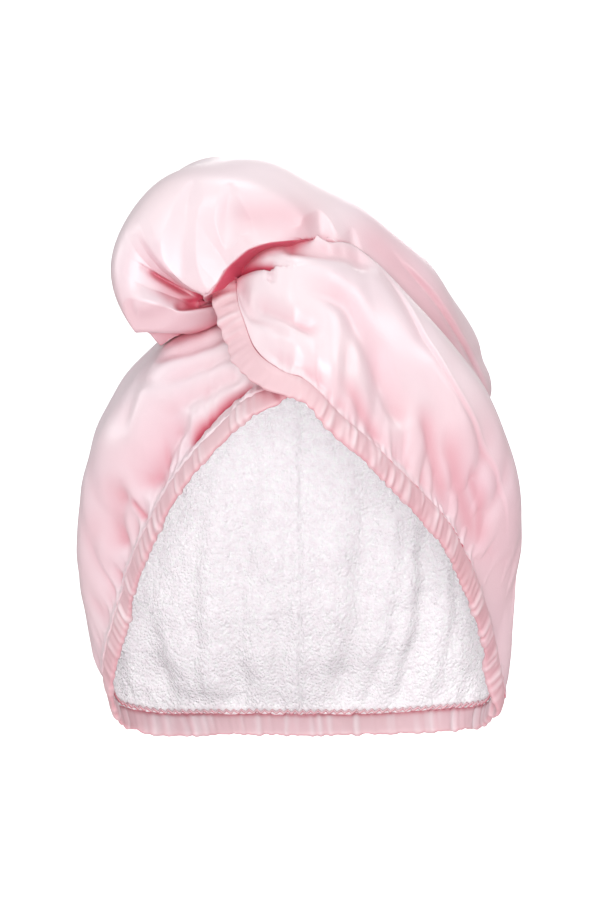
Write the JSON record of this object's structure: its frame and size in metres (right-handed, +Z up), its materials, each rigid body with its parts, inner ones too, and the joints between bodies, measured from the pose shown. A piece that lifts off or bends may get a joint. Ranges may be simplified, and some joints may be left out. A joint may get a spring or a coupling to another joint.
{
  "type": "hair turban towel",
  "caption": "Satin hair turban towel in its worn shape: terry-lined cap, gathered elastic hem, crossing front panel and a twisted tail laid back over the crown.",
  "frame": {"origin": "inside of the crown, where the top of the head carries the towel (mount head_seat)", "axes": "+Z up along the longest extent, out of the crown; -Y out of the face opening; +X to the wearer's left"},
  "size_m": [0.2241, 0.2574, 0.2934],
  "materials": {
    "satin": "satin",
    "terry": "terry nap",
    "casing": "satin, gathered",
    "button": "gloss"
  },
  "bodies": {
    "root": {"satin_cap": "satin", "terry_lining": "terry", "wrap_panel": "satin", "elastic_hem": "casing", "tail_upper": "satin", "tail_lower": "satin", "tail_end": "satin", "closure_button": "button"}
  },
  "joints": []
}
